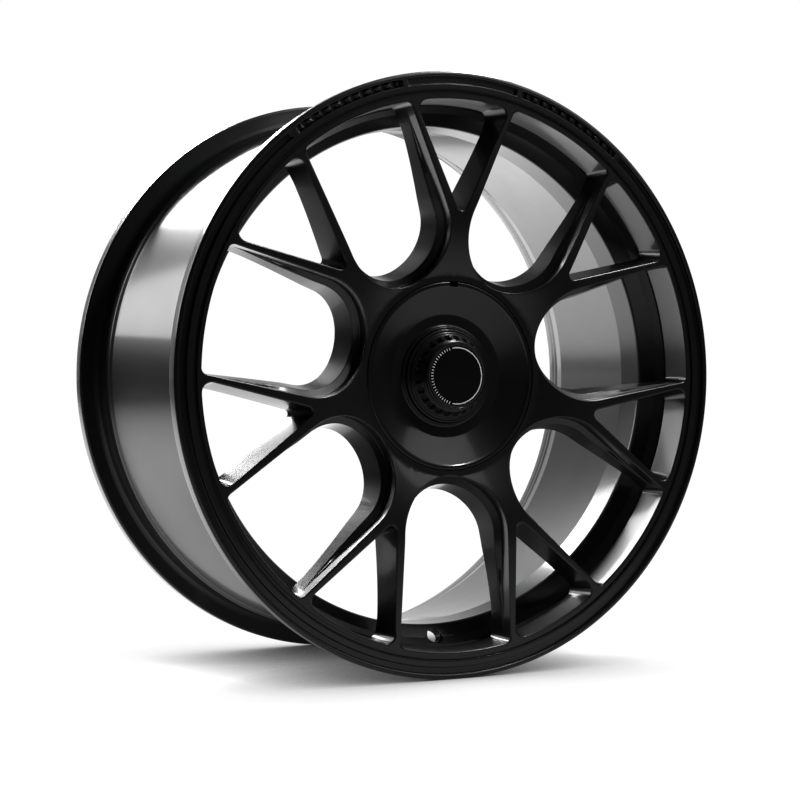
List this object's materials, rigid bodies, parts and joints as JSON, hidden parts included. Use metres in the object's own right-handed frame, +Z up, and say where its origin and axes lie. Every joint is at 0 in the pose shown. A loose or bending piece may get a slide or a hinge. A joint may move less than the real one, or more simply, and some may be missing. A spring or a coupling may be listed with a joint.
{
  "type": "alloy road wheel",
  "caption": "Satin black alloy car wheel with Y-shaped spokes, a deep flow-formed barrel, a screwed round centre cover and a blank emblem.",
  "frame": {"origin": "on the wheel's axle, halfway between the outer faces of the two rim flanges", "axes": "+Y along the axle towards the car, the show face looks to -Y, +Z up with the valve hole at the bottom"},
  "size_m": [0.4966, 0.2414, 0.4966],
  "materials": {
    "wheel_paint": "satin black paint on cast and flow-formed aluminium",
    "cover_paint": "satin black anodised aluminium",
    "gloss_black": "gloss black emblem with a thin printed ring",
    "zinc_steel": "zinc-plated",
    "black_plastic": "moulded matte",
    "seal_rubber": "matte black"
  },
  "bodies": {
    "wheel": {"rim_front": "wheel_paint", "rim_well": "wheel_paint", "rim_rear": "wheel_paint", "hub_ring": "wheel_paint", "bolt_pad": "wheel_paint", "spigot_ring": "black_plastic", "cap_carrier": "zinc_steel", "carrier_seal": "seal_rubber", "carrier_screw_1": "zinc_steel", "carrier_screw_2": "zinc_steel", "carrier_screw_3": "zinc_steel", "carrier_screw_4": "zinc_steel", "carrier_screw_5": "zinc_steel", "y_spoke_1": "wheel_paint", "y_spoke_2": "wheel_paint", "y_spoke_3": "wheel_paint", "y_spoke_4": "wheel_paint", "y_spoke_5": "wheel_paint", "y_spoke_6": "wheel_paint", "y_spoke_7": "wheel_paint"},
    "cover": {"cover_plate": "cover_paint", "cover_seal": "seal_rubber", "thrust_washer": "black_plastic"},
    "nut": {"cap_nut": "cover_paint", "snap_ring": "zinc_steel", "emblem_cup": "black_plastic", "emblem_plate": "gloss_black", "emblem_spring": "zinc_steel"}
  },
  "joints": [
    {"name": "cap_travel", "type": "slide", "parent": "wheel", "child": "cover", "axis": [0, -1, 0], "range_m": [0, 0.012]},
    {"name": "nut_turn", "type": "hinge", "parent": "cover", "child": "nut", "pos_m": [0, -0.0965, 0], "axis": [0, -1, 0], "range_deg": [0, 2160]}
  ],
  "couplings": [
    {"joint": "cap_travel", "follows": "nut_turn", "m_per_rad": 0.00031831}
  ]
}
